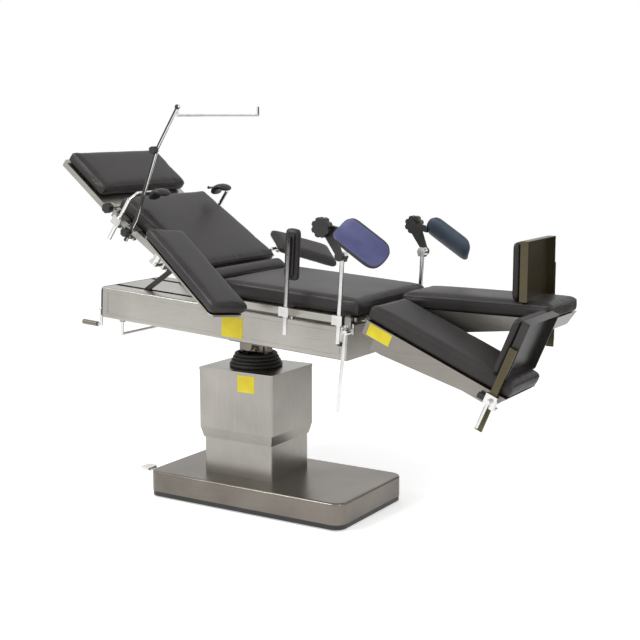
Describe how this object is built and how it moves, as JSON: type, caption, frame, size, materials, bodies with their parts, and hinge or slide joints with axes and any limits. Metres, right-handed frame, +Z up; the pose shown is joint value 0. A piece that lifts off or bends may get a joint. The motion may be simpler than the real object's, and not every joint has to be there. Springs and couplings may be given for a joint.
{
  "type": "operating table",
  "caption": "Hydraulic operating table with folding back, head and split leg sections on a lifting column, with rails, arm boards, leg crutches, foot boards and a screen frame",
  "frame": {"origin": "centre of the base on the floor", "axes": "X towards the foot end, Y towards the far side, Z up"},
  "size_m": [1.9607, 1.1528, 1.5109],
  "materials": {
    "rubber": "moulded black rubber",
    "black_steel": "black powder coat",
    "stainless": "brushed stainless sheet",
    "steel": "machined steel",
    "chrome": "bright chrome plate",
    "black_plastic": "moulded black plastic",
    "vinyl": "charcoal vinyl over foam",
    "blue_vinyl": "blue violet vinyl over foam"
  },
  "bodies": {
    "base": {"base_feet": "rubber", "base_chassis": "black_steel", "base_cover": "stainless", "lower_shroud": "stainless", "lift_cylinder": "steel"},
    "pedal": {"pump_pedal": "chrome"},
    "column": {"upper_shroud": "stainless", "lift_ram": "chrome", "tilt_pedestal": "steel", "bellows": "rubber"},
    "cradle": {"tilt_cross": "steel"},
    "frame": {"tilt_saddle": "steel", "main_frame": "stainless", "frame_end_cap": "black_plastic", "seat_frame": "stainless", "seat_cushion": "vinyl", "seat_rails": "stainless", "seat_clamps": "chrome", "leg_lock_lever": "chrome"},
    "crank": {"head_crank": "chrome"},
    "selector": {"lock_lever": "chrome"},
    "back": {"back_frame": "stainless", "back_cushion": "vinyl", "back_rails": "stainless", "back_clamps": "chrome"},
    "kidney": {"kidney_bridge": "stainless", "kidney_cushion": "vinyl"},
    "back_links": {"push_links": "black_steel"},
    "head": {"head_frame": "stainless", "head_cushion": "vinyl"},
    "near_arm": {"near_arm_plate": "stainless", "near_arm_pad": "vinyl"},
    "far_arm_mount": {"far_arm_post": "chrome"},
    "far_arm": {"far_arm_pad": "vinyl"},
    "screen": {"screen_frame": "chrome"},
    "near_support": {"near_support_post": "chrome", "near_support_pad": "vinyl"},
    "near_shoulder": {"near_shoulder_rod": "chrome", "near_shoulder_pad": "vinyl"},
    "near_crutch_mast": {"near_crutch_post": "chrome"},
    "near_crutch": {"near_crutch_arm": "black_plastic", "near_crutch_trough": "blue_vinyl"},
    "near_leg_fold": {"near_leg_hinge": "steel"},
    "near_leg": {"near_leg_frame": "stainless", "near_leg_cushion": "vinyl", "near_board_clamp": "chrome"},
    "near_foot": {"near_board_plate": "stainless", "near_board_cushion": "vinyl"},
    "far_shoulder": {"far_shoulder_rod": "chrome", "far_shoulder_pad": "vinyl"},
    "far_crutch_mast": {"far_crutch_post": "chrome"},
    "far_crutch": {"far_crutch_arm": "black_plastic", "far_crutch_trough": "blue_vinyl"},
    "far_leg_fold": {"far_leg_hinge": "steel"},
    "far_leg": {"far_leg_frame": "stainless", "far_leg_cushion": "vinyl", "far_board_clamp": "chrome"},
    "far_foot": {"far_board_plate": "stainless", "far_board_cushion": "vinyl"}
  },
  "joints": [
    {"name": "pedal_press", "type": "hinge", "parent": "base", "child": "pedal", "pos_m": [-0.39, -0.12, 0.066], "axis": [0, 1, 0], "range_deg": [-12, 0], "stiffness_Nm_per_rad": 6, "springref_deg": 2.86},
    {"name": "column_lift", "type": "slide", "parent": "base", "child": "column", "axis": [0, 0, 1], "range_m": [-0.1, 0.14]},
    {"name": "side_tilt", "type": "hinge", "parent": "column", "child": "cradle", "pos_m": [-0.086, 0, 0.6], "axis": [1, 0, 0], "range_deg": [-20, 20]},
    {"name": "head_foot_tilt", "type": "hinge", "parent": "cradle", "child": "frame", "pos_m": [-0.086, 0, 0.6], "axis": [0, 1, 0], "range_deg": [-28, 22]},
    {"name": "crank_turn", "type": "hinge", "parent": "frame", "child": "crank", "pos_m": [-0.68697, -0.165, 0.70477], "axis": [0.9983, 0, -0.0576], "continuous": true},
    {"name": "selector_turn", "type": "hinge", "parent": "frame", "child": "selector", "pos_m": [-0.60249, -0.174, 0.67586], "axis": [0.0576, 0, 0.9983], "range_deg": [-30, 60]},
    {"name": "back_fold", "type": "hinge", "parent": "frame", "child": "back", "pos_m": [-0.10194, 0, 0.85334], "axis": [0, 1, 0], "range_deg": [-31.2, 38.8]},
    {"name": "kidney_raise", "type": "slide", "parent": "back", "child": "kidney", "axis": [0.5664, 0, 0.8241], "range_m": [0, 0.11]},
    {"name": "back_link_swing", "type": "hinge", "parent": "back", "child": "back_links", "pos_m": [-0.32609, 0, 0.92973], "axis": [0, 1, 0], "range_deg": [-76, 61]},
    {"name": "head_fold", "type": "hinge", "parent": "back", "child": "head", "pos_m": [-0.57246, 0, 1.12211], "axis": [0, -1, 0], "range_deg": [-40, 90]},
    {"name": "near_arm_swivel", "type": "hinge", "parent": "back", "child": "near_arm", "pos_m": [-0.23912, -0.3625, 0.99979], "axis": [0.5664, 0, 0.8241], "range_deg": [-78, 4]},
    {"name": "far_arm_height", "type": "slide", "parent": "back", "child": "far_arm_mount", "axis": [0.5664, 0, 0.8241], "range_m": [-0.01, 0.05]},
    {"name": "far_arm_swivel", "type": "hinge", "parent": "far_arm_mount", "child": "far_arm", "pos_m": [-0.21815, 0.362, 0.9332], "axis": [0.5664, 0, 0.8241], "range_deg": [-45, 30]},
    {"name": "screen_turn", "type": "hinge", "parent": "back", "child": "screen", "pos_m": [-0.41841, -0.31, 1.07084], "axis": [0.5664, 0, 0.8241], "range_deg": [-45, 90]},
    {"name": "near_support_height", "type": "slide", "parent": "frame", "child": "near_support", "axis": [0.0576, 0, 0.9983], "range_m": [-0.03, 0.06]},
    {"name": "near_shoulder_turn", "type": "hinge", "parent": "back", "child": "near_shoulder", "pos_m": [-0.47445, -0.31, 1.10935], "axis": [0.5664, 0, 0.8241], "range_deg": [-30, 5]},
    {"name": "near_crutch_height", "type": "slide", "parent": "frame", "child": "near_crutch_mast", "axis": [0.0576, 0, 0.9983], "range_m": [-0.05, 0.06]},
    {"name": "near_crutch_tip", "type": "hinge", "parent": "near_crutch_mast", "child": "near_crutch", "pos_m": [0.48308, -0.31, 1.00191], "axis": [0, 1, 0], "range_deg": [-35, 20]},
    {"name": "near_leg_fold", "type": "hinge", "parent": "frame", "child": "near_leg_fold", "pos_m": [0.52832, 0, 0.77893], "axis": [0, -1, 0], "range_deg": [-60.5, 26.5]},
    {"name": "near_leg_swing", "type": "hinge", "parent": "near_leg_fold", "child": "near_leg", "pos_m": [0.55541, -0.229, 0.735], "axis": [-0.3875, 0, -0.9219], "range_deg": [0, 90]},
    {"name": "near_board_height", "type": "slide", "parent": "near_leg", "child": "near_foot", "axis": [0.3875, 0, 0.9219], "range_m": [0, 0.08]},
    {"name": "far_shoulder_turn", "type": "hinge", "parent": "back", "child": "far_shoulder", "pos_m": [-0.47445, 0.31, 1.10935], "axis": [0.5664, 0, 0.8241], "range_deg": [-5, 30]},
    {"name": "far_crutch_height", "type": "slide", "parent": "frame", "child": "far_crutch_mast", "axis": [0.0576, 0, 0.9983], "range_m": [-0.05, 0.06]},
    {"name": "far_crutch_tip", "type": "hinge", "parent": "far_crutch_mast", "child": "far_crutch", "pos_m": [0.46968, 0.31, 0.96061], "axis": [0, 1, 0], "range_deg": [-35, 20]},
    {"name": "far_leg_fold", "type": "hinge", "parent": "frame", "child": "far_leg_fold", "pos_m": [0.52832, 0, 0.77893], "axis": [0, -1, 0], "range_deg": [-83.3, 3.7]},
    {"name": "far_leg_swing", "type": "hinge", "parent": "far_leg_fold", "child": "far_leg", "pos_m": [0.57032, 0.229, 0.74893], "axis": [0, 0, 1], "range_deg": [0, 90]},
    {"name": "far_board_height", "type": "slide", "parent": "far_leg", "child": "far_foot", "axis": [0, 0, 1], "range_m": [0, 0.08]}
  ],
  "couplings": [
    {"joint": "back_link_swing", "follows": "back_fold", "ratio": -1.95}
  ]
}
